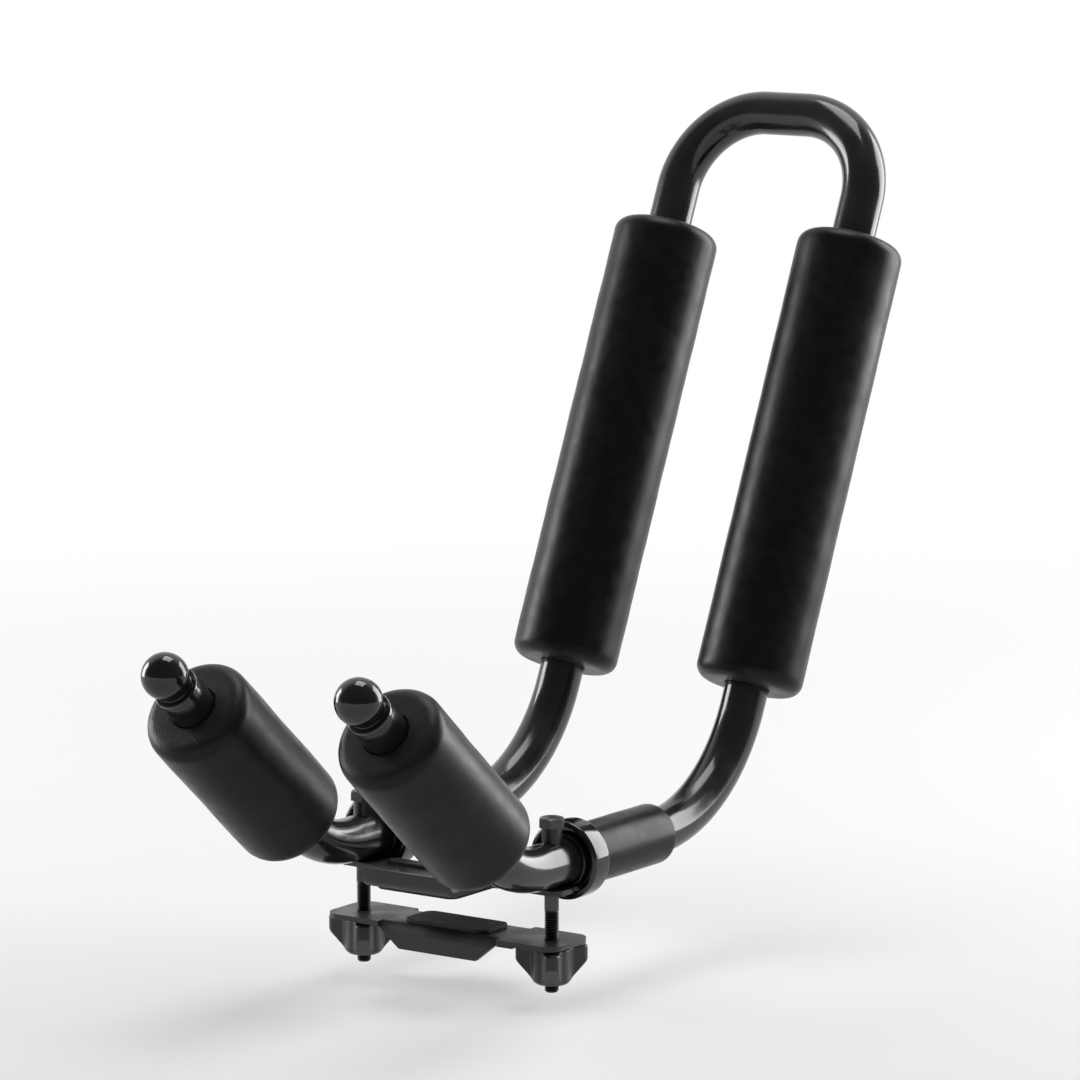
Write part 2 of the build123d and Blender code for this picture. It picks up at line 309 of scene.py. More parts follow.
def welded_copy(name: str, node: str, crease: float = SOLID_CREASE) -> bpy.types.Object:
    """Copy of a construction node's mesh, its loose triangles joined and its flat faces made whole.

    Args:
        name: Name of the copy.
        node: Name of the construction node.
        crease: Angle in radians above which an edge stays sharp.

    Returns:
        The copy, linked into the scene.
    """
    source = frame["nodes"][node].data
    points = np.empty(3 * len(source.vertices), np.float32)
    source.vertices.foreach_get("co", points)
    triangles = np.empty(len(source.loops), np.int32)
    source.loops.foreach_get("vertex_index", triangles)
    faces = triangles.reshape(-1, 3)
    return mesh_object(name, points.reshape(-1, 3), faces, crease, flatten=FLAT_ANGLE)


def soften_edges(piece: bpy.types.Object, width: float) -> None:
    """Round a piece's sharp edges a little with a Bevel modifier.

    Args:
        piece: The piece, with joined faces.
        width: Width of the rounding in metres.
    """
    bevel = piece.modifiers.new("edge_rounding", "BEVEL")
    bevel.width = width
    bevel.segments = BEVEL_SEGMENTS
    bevel.limit_method = "ANGLE"
    bevel.angle_limit = BEVEL_ANGLE
    bevel.harden_normals = True


@dataclass(frozen=True, eq=False)
class Axle:
    """A line to turn profiles about: a point, the direction along, and a direction to the side."""

    origin: Array
    along: Array
    side: Array = field(default_factory=X_AXIS.copy)

    def turned(self, profile: Array, segments: int, shift: Array | float = 0.0) -> Array:
        """Grid of a profile turned about the axle.

        A profile point (r, s) at angle t lies at origin + s along + (r + shift) spoke, with
        spoke = cos t side + sin t up and up = along x side.

        Args:
            profile: Radii and distances along the axle, of shape (points, 2).
            segments: Number of angles in a turn.
            shift: Change of radius, one for all or of shape (points, segments).

        Returns:
            Points of shape (points, segments, 3).
        """
        angle = full_turn(segments)[:, None]
        spoke = np.cos(angle) * self.side + np.sin(angle) * np.cross(self.along, self.side)
        reach = np.broadcast_to(profile[:, :1] + shift, (len(profile), segments))
        return self.origin + (profile[:, 1:] * self.along)[:, None] + reach[..., None] * spoke


# Shader node groups

# A Mix node has a socket of the same name for each kind of data. These are the colours' numbers.
MIX_AMOUNT, MIX_FIRST, MIX_SECOND, MIX_RESULT = 0, 6, 7, 2


class SocketKind(Enum):
    """Kinds of socket on a shader group."""

    COLOUR = "NodeSocketColor"
    VALUE = "NodeSocketFloat"


@dataclass
class NodeSheet:
    """A node tree being filled."""

    tree: bpy.types.NodeTree

    def add(self, kind: str, inputs: dict[str | int, Any] | None = None, **settings: Any) -> Node:
        """Add a node.

        Args:
            kind: Blender's name of the node type.
            inputs: Values of its inputs, or the sockets that feed them, by name or number.
            settings: Properties of the node itself.

        Returns:
            The new node.
        """
        node = self.tree.nodes.new(kind)
        for key, value in settings.items():
            setattr(node, key, value)
        for key, value in (inputs or {}).items():
            if isinstance(value, Socket):
                self.tree.links.new(value, node.inputs[key])
            else:
                node.inputs[key].default_value = value
        return node

    def group(self, made: bpy.types.NodeTree, inputs: dict[str, Any]) -> Node:
        """Place a shader group with its inputs."""
        return self.add("ShaderNodeGroup", inputs, node_tree=made)

    def place(self) -> Socket:
        """Object coordinates."""
        return self.add("ShaderNodeTexCoord").outputs["Object"]

    def noise(self, scale: Any, detail: float) -> Socket:
        """Noise over the object's coordinates, about 0.5."""
        inputs = {"Vector": self.place(), "Scale": scale, "Detail": detail}
        return self.add("ShaderNodeTexNoise", inputs).outputs["Fac"]

    def cells(self, scale: Any, scatter: float = 1.0) -> Socket:
        """Distance from the nearest of many scattered points, over the object's coordinates."""
        inputs = {"Vector": self.place(), "Scale": scale, "Randomness": scatter}
        return self.add("ShaderNodeTexVoronoi", inputs).outputs["Distance"]

    def ramp(self, value: Socket, band: Band, ends: Band = WHOLE) -> Socket:
        """Smooth step of a value over a band, from the first of two ends to the last.

        Args:
            value: The value.
            band: Where the step starts and where it stops.
            ends: Results before and after the step.

        Returns:
            The stepped value.
        """
        start, stop = band
        before, after = ends
        inputs = {
            "Value": value, "From Min": start, "From Max": stop, "To Min": before, "To Max": after,
        }
        step = self.add("ShaderNodeMapRange", inputs, interpolation_type="SMOOTHSTEP")
        return step.outputs["Result"]

    def reckon(self, operation: str, first: Any, second: Any) -> Socket:
        """Result of an arithmetic operation on two values."""
        node = self.add("ShaderNodeMath", {0: first, 1: second}, operation=operation)
        return node.outputs["Value"]

    def vector_math(self, operation: str, *vectors: Any) -> Node:
        """Add a node for an operation on one or two vectors."""
        return self.add("ShaderNodeVectorMath", dict(enumerate(vectors)), operation=operation)

    def blend(self, amount: Any, first: Any, second: Any) -> Socket:
        """Mixture of two colours."""
        inputs = {MIX_AMOUNT: amount, MIX_FIRST: first, MIX_SECOND: second}
        return self.add("ShaderNodeMix", inputs, data_type="RGBA").outputs[MIX_RESULT]

    def mix_shaders(self, amount: Socket, first: Node, second: Node) -> Node:
        """Add a mixture of two shaders."""
        inputs = {0: amount, 1: first.outputs[0], 2: second.outputs[0]}
        return self.add("ShaderNodeMixShader", inputs)

    def mirrored_rays(self) -> Socket:
        """One for rays that come from a glossy or a clear surface, and zero for the others."""
        path = self.add("ShaderNodeLightPath").outputs
        return self.reckon("MAXIMUM", path["Is Glossy Ray"], path["Is Transmission Ray"])

    def camera_rays(self) -> Socket:
        """One for rays straight from the camera, and zero for the others."""
        return self.add("ShaderNodeLightPath").outputs["Is Camera Ray"]


def new_group(
    name: str, inputs: dict[str, SocketKind], outputs: dict[str, SocketKind]
) -> tuple[NodeSheet, dict[str, Socket]]:
    """Empty shader group with named sockets.

    Args:
        name: Name of the group.
        inputs: Names and kinds of its inputs.
        outputs: Names and kinds of its outputs.

    Returns:
        The sheet to fill, and the sockets that bring the group's inputs, by name.
    """
    tree = bpy.data.node_groups.new(name, "ShaderNodeTree")
    for label, kind in inputs.items():
        tree.interface.new_socket(label, in_out="INPUT", socket_type=kind.value)
    for label, kind in outputs.items():
        tree.interface.new_socket(label, in_out="OUTPUT", socket_type=kind.value)
    sheet = NodeSheet(tree)
    return sheet, dict(sheet.add("NodeGroupInput").outputs.items())


def blank_sheet(owner: bpy.types.ID) -> NodeSheet:
    """Node tree of a material or a world, switched on and emptied.

    Args:
        owner: The material or world.

    Returns:
        The sheet to fill.
    """
    owner.use_nodes = True
    owner.node_tree.nodes.clear()
    return NodeSheet(owner.node_tree)


DRIFT_DETAIL = 3.0
DRIFT_BAND: Band = (0.36, 0.64)
GRAIN_DETAIL = 2.0
RIPPLE_DETAIL = 1.0
RIPPLE_SHARE = 0.18
LYING_BAND: Band = (0.2, 1.0)
PATCH_SCALE = 38.0
PATCH_DETAIL = 4.0
PATCH_BAND: Band = (0.35, 0.75)
FLECK_SCALE = 1300.0
FLECK_DETAIL = 1.0
FLECK_BAND: Band = (0.62, 0.74)


@cache
def colour_drift() -> bpy.types.NodeTree:
    """Group: a colour that drifts between two shades in soft patches, and the second's amount.

    Returns:
        The group, made once.
    """
    sheet, given = new_group(
        "colour_drift",
        {"Dark": SocketKind.COLOUR, "Light": SocketKind.COLOUR, "Scale": SocketKind.VALUE},
        {"Colour": SocketKind.COLOUR, "Amount": SocketKind.VALUE},
    )
    amount = sheet.ramp(sheet.noise(given["Scale"], DRIFT_DETAIL), DRIFT_BAND)
    colour = sheet.blend(amount, given["Dark"], given["Light"])
    sheet.add("NodeGroupOutput", {"Colour": colour, "Amount": amount})
    return sheet.tree


@cache
def fine_grain() -> bpy.types.NodeTree:
    """Group: height of a fine grain with a broader ripple under it.

    Returns:
        The group, made once.
    """
    sheet, given = new_group(
        "fine_grain",
        {"Scale": SocketKind.VALUE, "Ripple": SocketKind.VALUE},
        {"Height": SocketKind.VALUE},
    )
    broad = sheet.noise(sheet.reckon("MULTIPLY", given["Scale"], RIPPLE_SHARE), RIPPLE_DETAIL)
    ripple = sheet.reckon("MULTIPLY", broad, given["Ripple"])
    height = sheet.reckon("ADD", sheet.noise(given["Scale"], GRAIN_DETAIL), ripple)
    sheet.add("NodeGroupOutput", {"Height": height})
    return sheet.tree


@cache
def dust_film() -> bpy.types.NodeTree:
    """Group: a thin film of dust on faces that look up, in patches and flecks, and its mask.

    Returns:
        The group, made once.
    """
    sheet, given = new_group(
        "dust_film",
        {"Clean": SocketKind.COLOUR, "Dust": SocketKind.COLOUR, "Amount": SocketKind.VALUE},
        {"Colour": SocketKind.COLOUR, "Mask": SocketKind.VALUE},
    )
    normal = sheet.add("ShaderNodeNewGeometry").outputs["Normal"]
    upward = sheet.add("ShaderNodeSeparateXYZ", {0: normal}).outputs["Z"]
    lying = sheet.ramp(upward, LYING_BAND)
    patches = sheet.ramp(sheet.noise(PATCH_SCALE, PATCH_DETAIL), PATCH_BAND)
    flecks = sheet.ramp(sheet.noise(FLECK_SCALE, FLECK_DETAIL), FLECK_BAND)
    cover = sheet.reckon("MULTIPLY", lying, sheet.reckon("ADD", patches, flecks))
    mask = sheet.reckon("MULTIPLY", cover, given["Amount"])
    colour = sheet.blend(mask, given["Clean"], given["Dust"])
    sheet.add("NodeGroupOutput", {"Colour": colour, "Mask": mask})
    return sheet.tree


# Finishes

DUST: Rgb = (0.34, 0.32, 0.29)


def opaque(colour: Rgb) -> tuple[float, float, float, float]:
    """A colour with full alpha."""
    return (*colour, 1.0)


@dataclass(frozen=True)
class Finish:
    """Two drifting shades, with a range of roughness, a fine grain and a film of dust."""

    name: str
    slot: Slot
    dark: Rgb
    light: Rgb
    roughness: Band
    grain_scale: float
    grain_height: float
    ripple: float = 0.0
    drift_scale: float = 45.0
    dust: float = 0.05
    metallic: float = 0.0
    specular: float = 0.5

    def colour(self, sheet: NodeSheet) -> tuple[Socket, Socket]:
        """Colour before dust, and the value that roughness follows.

        Args:
            sheet: Nodes of the material.

        Returns:
            The colour, and the value from 0 to 1.
        """
        shades = {"Dark": opaque(self.dark), "Light": opaque(self.light), "Scale": self.drift_scale}
        drift = sheet.group(colour_drift(), shades)
        return drift.outputs["Colour"], drift.outputs["Amount"]

    def height(self, sheet: NodeSheet) -> Socket:
        """Height of the surface's relief, in units of the grain's."""
        grain = sheet.group(fine_grain(), {"Scale": self.grain_scale, "Ripple": self.ripple})
        return grain.outputs["Height"]

    @cache
    def material(self) -> bpy.types.Material:
        """The finish as a material, made once.

        Returns:
            The material, with its shader fed by the drifting colour, roughness and relief.
        """
        made = bpy.data.materials.new(self.name)
        sheet = blank_sheet(made)
        clean, amount = self.colour(sheet)
        film = sheet.group(dust_film(), {"Clean": clean, "Dust": opaque(DUST), "Amount": self.dust})
        relief = {"Height": self.height(sheet), "Distance": self.grain_height}
        bump = sheet.add("ShaderNodeBump", relief)
        shader = sheet.add(
            "ShaderNodeBsdfPrincipled",
            {
                "Base Color": film.outputs["Colour"],
                "Roughness": sheet.ramp(amount, WHOLE, self.roughness),
                "Metallic": self.metallic,
                "Specular IOR Level": self.specular,
                "Normal": bump.outputs["Normal"],
            },
        )
        sheet.add("ShaderNodeOutputMaterial", {"Surface": shader.outputs["BSDF"]})
        return made


@dataclass(frozen=True)
class FoamFinish(Finish):
    """Closed-cell foam: a smooth skin with small pores, and coarser open cells on the cut ends, which
    are paler partly from their own tone and partly from painted light.
    """

    pore_scale: float = 1700.0
    pore_band: Band = (0.0, 0.35)
    pore_depth: float = 1.0
    cell_scale: float = 1250.0
    cell_depth: float = 5.6
    # paler colour of the cut ends: partly the open cells' own tone, partly painted light on the ends
    cut_pale_painted_light: Rgb = (0.04, 0.04, 0.0415)
    cut_share: float = 0.5

    def cut(self, sheet: NodeSheet) -> Socket:
        """Mask of the cut ends."""
        return sheet.add("ShaderNodeAttribute", attribute_name="cut_end").outputs["Fac"]

    def colour(self, sheet: NodeSheet) -> tuple[Socket, Socket]:
        """Skin colour, paler on the cut ends, partly the open cells' own tone and partly painted light
        for the light that falls on them.

        Args:
            sheet: Nodes of the material.

        Returns:
            The colour, and the value that roughness follows.
        """
        skin, amount = super().colour(sheet)
        # cut ends made paler: partly their own tone, partly painted light
        pale = sheet.reckon("MULTIPLY", self.cut(sheet), self.cut_share)
        return sheet.blend(pale, skin, opaque(self.cut_pale_painted_light)), amount

    def height(self, sheet: NodeSheet) -> Socket:
        """Grain with pores on the skin, and cells on the cut ends.

        Args:
            sheet: Nodes of the material.

        Returns:
            The height, in units of the grain's.
        """
        grain = super().height(sheet)
        pore = sheet.ramp(sheet.cells(self.pore_scale), self.pore_band)
        skin = sheet.reckon("ADD", grain, sheet.reckon("MULTIPLY", pore, self.pore_depth))
        cell = sheet.cells(self.cell_scale)
        opened = sheet.reckon("MULTIPLY", self.cut(sheet), self.cell_depth)
        return sheet.reckon("ADD", skin, sheet.reckon("MULTIPLY", cell, opened))


@dataclass(frozen=True)
class BoltFinish(Finish):
    """Black plated steel, with painted shade darkening the thread's grooves."""

    # painted shade: the colour that darkens the thread's grooves
    groove_painted_shade: Rgb = (0.008, 0.008, 0.008)

    def colour(self, sheet: NodeSheet) -> tuple[Socket, Socket]:
        """Plating with painted shade in the grooves.

        Args:
            sheet: Nodes of the material.

        Returns:
            The colour, and the value that roughness follows.
        """
        plate, amount = super().colour(sheet)
        # painted shade in the thread's grooves, placed by the groove mask
        groove = sheet.add("ShaderNodeAttribute", attribute_name="groove").outputs["Fac"]
        return sheet.blend(groove, plate, opaque(self.groove_painted_shade)), amount


@dataclass(frozen=True)
class LinerFinish(Finish):
    """Rubber sheet with a fine stipple."""

    stipple_scale: float = 480.0
    stipple_scatter: float = 0.25
    dot_band: Band = (0.2, 0.5)
    dot_height: float = 2.0

    def height(self, sheet: NodeSheet) -> Socket:
        """Grain with round stipple dots.

        Args:
            sheet: Nodes of the material.

        Returns:
            The height, in units of the grain's.
        """
        away = sheet.cells(self.stipple_scale, self.stipple_scatter)
        dot = sheet.ramp(away, self.dot_band, (self.dot_height, 0.0))
        return sheet.reckon("ADD", super().height(sheet), dot)


TUBE_COAT = Finish(
    "gloss_black_powder_coat", Slot.TUBE_PAINT, (0.014, 0.014, 0.0155), (0.019, 0.019, 0.0205),
    (0.13, 0.2), grain_scale=520.0, grain_height=0.012 * MM, ripple=2.5, dust=0.04,
)
PLATE_COAT = Finish(
    "satin_black_powder_coat", Slot.PLATE_PAINT, (0.018, 0.018, 0.019), (0.026, 0.026, 0.027),
    (0.34, 0.46), grain_scale=900.0, grain_height=0.03 * MM, ripple=0.8, dust=0.07,
)
FOAM_SKIN = FoamFinish(
    "charcoal_foam_skin", Slot.FOAM, (0.0072, 0.0072, 0.0078), (0.0094, 0.0094, 0.01),
    (0.3, 0.37), grain_scale=1100.0, grain_height=0.025 * MM, ripple=0.5, drift_scale=120.0, dust=0.012,
    specular=0.16,
)
GLOSS_PLASTIC = Finish(
    "gloss_black_moulding", Slot.GLOSS_MOULDING, (0.01, 0.01, 0.011), (0.013, 0.013, 0.014),
    (0.05, 0.1), grain_scale=240.0, grain_height=0.008 * MM, ripple=1.0, dust=0.02,
)
KNOB_PLASTIC = Finish(
    "satin_black_moulding", Slot.KNOB_MOULDING, (0.014, 0.014, 0.015), (0.02, 0.02, 0.021),
    (0.36, 0.46), grain_scale=1500.0, grain_height=0.03 * MM, ripple=0.3, dust=0.05,
)
RUBBER = LinerFinish(
    "matt_black_rubber", Slot.LINER_RUBBER, (0.013, 0.013, 0.013), (0.021, 0.021, 0.021),
    (0.68, 0.82), grain_scale=800.0, grain_height=0.06 * MM, dust=0.04,
)
BLACK_PLATE = BoltFinish(
    "black_plated_steel", Slot.PLATED_STEEL, (0.05, 0.05, 0.053), (0.085, 0.085, 0.088),
    (0.28, 0.42), grain_scale=1100.0, grain_height=0.012 * MM, ripple=0.5, dust=0.03, metallic=1.0,
)


def settle(piece: bpy.types.Object, body: Body, finish: Finish, *nodes: str) -> bpy.types.Object:
    """Give a finished piece its material, its body and the construction nodes that it stands for.

    Args:
        piece: The finished piece.
        body: The body it moves with.
        finish: Its finish.
        nodes: Names of the construction nodes it replaces.

    Returns:
        The same piece.
    """
    piece.data.materials.clear()
    piece.data.materials.append(finish.material())
    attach(piece, body.value)
    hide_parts(*nodes)
    faces = len(piece.data.polygons)
    LOG.info("%s: %d faces, on %s, for %s", piece.name, faces, body.value, ", ".join(nodes))
    return piece


# Sub-assemblies


@dataclass(frozen=True)
class CradleLayout:
    """Run of the bent tube, and the places of the pieces on it."""

    leg_x: float
    tube_z: float
    base_pad_start: float
    base_pad_end: float
    tube_r: float = 12.7 * MM
    tube_wall: float = 1.8 * MM
    short_rise: float = radians(41)
    short_bend: float = 75 * MM
    short_bend_start: float = -12 * MM
    tall_rise: float = radians(66)
    tall_bend: float = 100 * MM
    pad_to_tall_bend: float = 2 * MM
    loop_flat: float = 28 * MM
    bend_to_short_pad: float = 4 * MM
    bend_to_tall_pad: float = 10 * MM
    short_pad_length: float = 115 * MM
    tall_pad_length: float = 270 * MM
    tube_stub: float = 17 * MM
    loop_stub: float = 25 * MM

    @classmethod
    def from_frame(cls) -> "CradleLayout":
        """Layout with the legs, the tube's height and the base pads of the construction model.

        Returns:
            The layout.
        """
        bolt_low, bolt_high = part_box("front_clamp_bolt")
        pad_low, pad_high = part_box("front_base_pad")
        leg_x, tube_z = (bolt_low.x + bolt_high.x) / 2, (pad_low.z + pad_high.z) / 2
        return cls(leg_x, tube_z, pad_low.y, pad_high.y)

    @property
    def short_tangent(self) -> float:
        """Distance from the short bend's corner to the ends of its arc."""
        return self.short_bend * tan(self.short_rise / 2)

    @property
    def tall_tangent(self) -> float:
        """Distance from the tall bend's corner to the ends of its arc."""
        return self.tall_bend * tan(self.tall_rise / 2)

    @property
    def loop_bend(self) -> float:
        """Radius of the loop's two bends."""
        return self.leg_x - self.loop_flat / 2

    @property
    def short_pad_start(self) -> float:
        """Distance of the short pad from the bend's corner."""
        return self.short_tangent + self.bend_to_short_pad

    @property
    def short_end(self) -> float:
        """Distance of the tube's open end from the bend's corner."""
        return self.short_pad_start + self.short_pad_length + self.tube_stub

    @property
    def tall_pad_start(self) -> float:
        """Distance of the tall pad from the bend's corner."""
        return self.tall_tangent + self.bend_to_tall_pad

    @property
    def tall_end(self) -> float:
        """Distance of the loop's straight from the bend's corner."""
        return self.tall_pad_start + self.tall_pad_length + self.loop_stub + self.loop_bend

    def short_arm(self, side: Side, along: float) -> Axle:
        """Axle on a short arm, pointing at the ball.

        Args:
            side: The leg.
            along: Distance from the bend's corner.

        Returns:
            The axle.
        """
        out = np.array([0.0, -cos(self.short_rise), sin(self.short_rise)])
        corner_y = self.short_bend_start - self.short_tangent
        corner = np.array([side.value * self.leg_x, corner_y, self.tube_z])
        return Axle(corner + along * out, out)

    def tall_arm(self, side: Side, along: float) -> Axle:
        """Axle on a tall arm, pointing at the loop.

        Args:
            side: The leg.
            along: Distance from the bend's corner.

        Returns:
            The axle.
        """
        out = np.array([0.0, cos(self.tall_rise), sin(self.tall_rise)])
        corner_y = self.base_pad_end + self.pad_to_tall_bend + self.tall_tangent
        corner = np.array([side.value * self.leg_x, corner_y, self.tube_z])
        return Axle(corner + along * out, out)

    def base_run(self, side: Side, y: float) -> Axle:
        """Axle on a base run, pointing at the tall arm."""
        return Axle(np.array([side.value * self.leg_x, y, self.tube_z]), Y_AXIS)

    def bolt(self, side: Side, z: float) -> Axle:
        """Axle on a clamp bolt, pointing up."""
        return Axle(np.array([side.value * self.leg_x, 0.0, z]), Z_AXIS)


@dataclass
class CradleTube:
    """The one bent tube of the cradle."""

    layout: CradleLayout
    hole_r: float = 4.3 * MM
    hole_around: int = 48
    crease: float = radians(50)
    around: int = 96
    bend_steps: int = 40

    def centre_line(self) -> tuple[Array, Array]:
        """Run of the tube from the rear ball, round the loop, to the front ball.

        Returns:
            Points and unit tangents, both of shape (points, 3).
        """
        plan = self.layout
        legs = []
        for side in (Side.REAR, Side.FRONT):
            stations = (
                plan.short_arm(side, plan.short_end),
                plan.short_arm(side, 0.0),
                plan.tall_arm(side, 0.0),
                plan.tall_arm(side, plan.tall_end),
            )
            legs.append([station.origin for station in stations])
        bends = [plan.short_bend, plan.tall_bend, plan.loop_bend]
        corners = np.array(legs[0] + legs[1][::-1])
        return rounded_route(corners, bends + bends[::-1], self.bend_steps)

    def build(self) -> None:
        """Sweep the tube's outer and inner wall along the centre line.

        A wall point is P + r (cos t u + sin t v), with v = T x u. On the legs u is X, towards the other
        leg, and on the loop it is n x T, with n the normal of the loop's plane, so the two agree where
        they meet. The inner wall runs back from the last station to the first and closes the surface.
        """
        plan = self.layout
        centre, tangent = self.centre_line()
        loop_normal = np.cross(plan.tall_arm(Side.REAR, 0.0).along, X_AXIS)
        on_leg = np.abs(centre[:, :1]) > plan.leg_x - WELD
        inward = -np.sign(centre[:, :1]) * X_AXIS
        u = np.where(on_leg, inward, np.cross(loop_normal, tangent))[:, None]
        v = np.cross(tangent, u[:, 0])[:, None]
        angle = full_turn(self.around)[:, None]
        spoke = np.cos(angle) * u + np.sin(angle) * v
        outer = centre[:, None] + plan.tube_r * spoke
        inner = centre[:, None] + (plan.tube_r - plan.tube_wall) * spoke
        walls = np.concatenate([outer, inner[::-1]])
        made = surface("bent_tube", walls, wrap=(True, True), crease=self.crease)
        self.drill(made)
        settle(made, Body.CRADLE, TUBE_COAT, "cradle_tube")

    def drill(self, tube: bpy.types.Object) -> None:
        """Drill both base runs for the bolts, by Boolean modifiers whose result is kept.

        A drill bit is a closed cylinder, turned from its half section, that stands out of the tube.

        Args:
            tube: The swept tube.
        """
        plan = self.layout
        reach = 2 * plan.tube_r
        corners = [(0.0, -reach), (self.hole_r, -reach), (self.hole_r, reach), (0.0, reach)]
        half_section = np.array(corners)
        bits = []
        for side in Side:
            axle = plan.bolt(side, plan.tube_z)
            bit = surface(side.named("drill_bit"), axle.turned(half_section, self.hole_around))
            hole = tube.modifiers.new(bit.name, "BOOLEAN")
            hole.operation, hole.solver, hole.object = "DIFFERENCE", "EXACT", bit
            bits.append(bit)
        drilled = tube.evaluated_get(bpy.context.evaluated_depsgraph_get())
        tube.data = bpy.data.meshes.new_from_object(drilled)
        tube.data.set_sharp_from_angle(angle=self.crease)
        tube.modifiers.clear()
        for bit in bits:
            bpy.data.objects.remove(bit)


@dataclass
class FoamSleeves:
    """The foam sleeves on the short arms, the base runs and the tall arms."""

    layout: CradleLayout
    clearance: float = 0.2 * MM
    thick_wall: float = 18 * MM
    thick_edge: float = 8 * MM
    base_wall: float = 4.2 * MM
    base_edge: float = 1.8 * MM
    bore_edge: float = 1.2 * MM
    waviness: float = 0.14 * MM
    wave_length: float = 58 * MM
    short_wave_length: float = 25 * MM
    short_wave_share: float = 0.6
    lobes: int = 2
    short_wave_lobes: int = 3
    phase_step: float = 11 * MM
    cut_share: float = 0.6
    spacing: float = 3 * MM
    corner_steps: int = 10
    around: int = 128
    fill: float = 0.95

    def sleeve(self, name: str, node: str, axle: Axle, length: float, wall: float, edge: float) -> None:
        """Build one sleeve as a rounded section turned about its arm, with slightly wavy foam.

        The radius is shifted by w f (sin(2 pi s / L + p) cos(m t + p) + k sin(2 pi s / M) cos(n t - p)),
        with w the waviness in proportion to the wall, f from 0 at the bore to 1 outside, s the distance
        along, t the angle, p a phase of the sleeve's own, L and M the two wave lengths, m and n their
        lobes round the sleeve and k the short wave's share.

        Args:
            name: Name of the piece.
            node: The construction node it stands for.
            axle: The arm's axle at the sleeve's lower end.
            length: Length of the sleeve.
            wall: Thickness of the foam.
            edge: Rounding of its outer ends.
        """
        bore = self.layout.tube_r + self.clearance
        outer = bore + wall
        middle = (bore, length / 2)
        corners = [middle, (bore, 0), (outer, 0), (outer, length), (bore, length), middle]
        radii = [self.bore_edge, edge, edge, self.bore_edge]
        outline = rounded_route(np.array(corners), radii, self.corner_steps)[0]
        profile = spaced(outline, self.spacing)
        reach, along = profile[:, :1], profile[:, 1:]
        angle = full_turn(self.around)
        phase = axle.origin.sum() / self.phase_step
        long_lobes = np.cos(self.lobes * angle + phase)
        short_lobes = np.cos(self.short_wave_lobes * angle - phase)
        long_wave = np.sin(2 * pi * along / self.wave_length + phase) * long_lobes
        short_wave = np.sin(2 * pi * along / self.short_wave_length) * short_lobes
        free = np.clip((reach - bore) / wall, 0.0, 1.0)
        waves = long_wave + self.short_wave_share * short_wave
        shift = self.waviness * wall / self.thick_wall * free * waves
        to_end = np.minimum(along, length - along)
        # the cut-end mask places the open cells and the paler end colour, which is partly painted light
        cut = np.clip(1.0 - to_end / (self.cut_share * edge), 0.0, 1.0) * np.ones_like(angle)
        made = surface(name, axle.turned(profile, self.around, shift), masks={"cut_end": cut})
        settle(made, Body.CRADLE, FOAM_SKIN, node)

    def build(self) -> None:
        """Build the three sleeves of each leg."""
        plan = self.layout
        for side in Side:
            short = plan.short_arm(side, plan.short_pad_start)
            tall = plan.tall_arm(side, plan.tall_pad_start)
            base = plan.base_run(side, plan.base_pad_start)
            base_length = plan.base_pad_end - plan.base_pad_start
            sizes = (
                ("short", short, plan.short_pad_length, self.thick_wall, self.thick_edge),
                ("tall", tall, plan.tall_pad_length, self.thick_wall, self.thick_edge),
                ("base", base, base_length, self.base_wall, self.base_edge),
            )
            for arm, axle, length, wall, edge in sizes:
                name, node = side.named(f"{arm}_sleeve"), side.named(f"{arm}_pad")
                self.sleeve(name, node, axle, length, wall, edge)


@dataclass
class BallCaps:
    """The ball plugs in the tube's two open ends."""

    layout: CradleLayout
    ball_r: float = 13 * MM
    neck_r: float = 9.5 * MM
    neck_length: float = 2 * MM
    flange: float = 3 * MM
    flange_edge: float = 0.9 * MM
    seat_edge: float = 0.2 * MM
    neck_fillet: float = 0.8 * MM
    plug_length: float = 22 * MM
    plug_r: float = 10.8 * MM
    rib: float = 1.0 * MM
    ribs: int = 3
    seam: float = 0.05 * MM
    seam_width: float = 0.22 * MM
    corner_steps: int = 8
    ball_steps: int = 72
    around: int = 96

    def profile(self) -> Array:
        """Radii and heights from the plug's inner end to the top of the ball.

        Each rib of the plug widens over half a pitch and stays wide over the other half. The flange and
        neck have rounded corners, and the ball is a circle of radius R about its centre c: r = R sin(q),
        s = c - R cos(q). A moulding seam stands out round its middle by a bell curve.

        Returns:
            Radii and heights of shape (points, 2).
        """
        core = self.plug_r - self.rib
        pitch = self.plug_length / (2 * self.ribs)
        foot = pitch * (2 * np.arange(self.ribs)[:, None] + 1) - self.plug_length
        rib_height = (foot + pitch * np.array([0.0, 0.5, 1.0, 1.0])).ravel()
        rib_radius = np.tile([core, self.plug_r, self.plug_r, core], self.ribs)
        ribbed = np.stack([rib_radius, rib_height], axis=1)[:-1]
        inner_end = [(0.0, -self.plug_length), (core, -self.plug_length)]
        tube_r, neck_top = self.layout.tube_r, self.flange + self.neck_length
        flange = [(self.plug_r, 0.0), (tube_r, 0.0), (tube_r, self.flange)]
        corners = flange + [(self.neck_r, self.flange), (self.neck_r, neck_top)]
        edges = [self.seat_edge, self.flange_edge, self.neck_fillet]
        stem = rounded_route(np.array(corners), edges, self.corner_steps)[0]
        centre = neck_top + sqrt(self.ball_r**2 - self.neck_r**2)
        polar = np.linspace(asin(self.neck_r / self.ball_r), pi, self.ball_steps)
        height = -np.cos(polar) * self.ball_r
        bulge = self.seam * np.exp(-((height / self.seam_width) ** 2))
        ball = np.stack([np.sin(polar) * (self.ball_r + bulge), centre + height], axis=1)
        return np.concatenate([inner_end, ribbed, stem, ball])

    def build(self) -> None:
        """Turn a cap for each open end."""
        for side in Side:
            axle = self.layout.short_arm(side, self.layout.short_end)
            made = surface(side.named("ball_plug"), axle.turned(self.profile(), self.around))
            settle(made, Body.CRADLE, GLOSS_PLASTIC, side.named("ball_cap"))


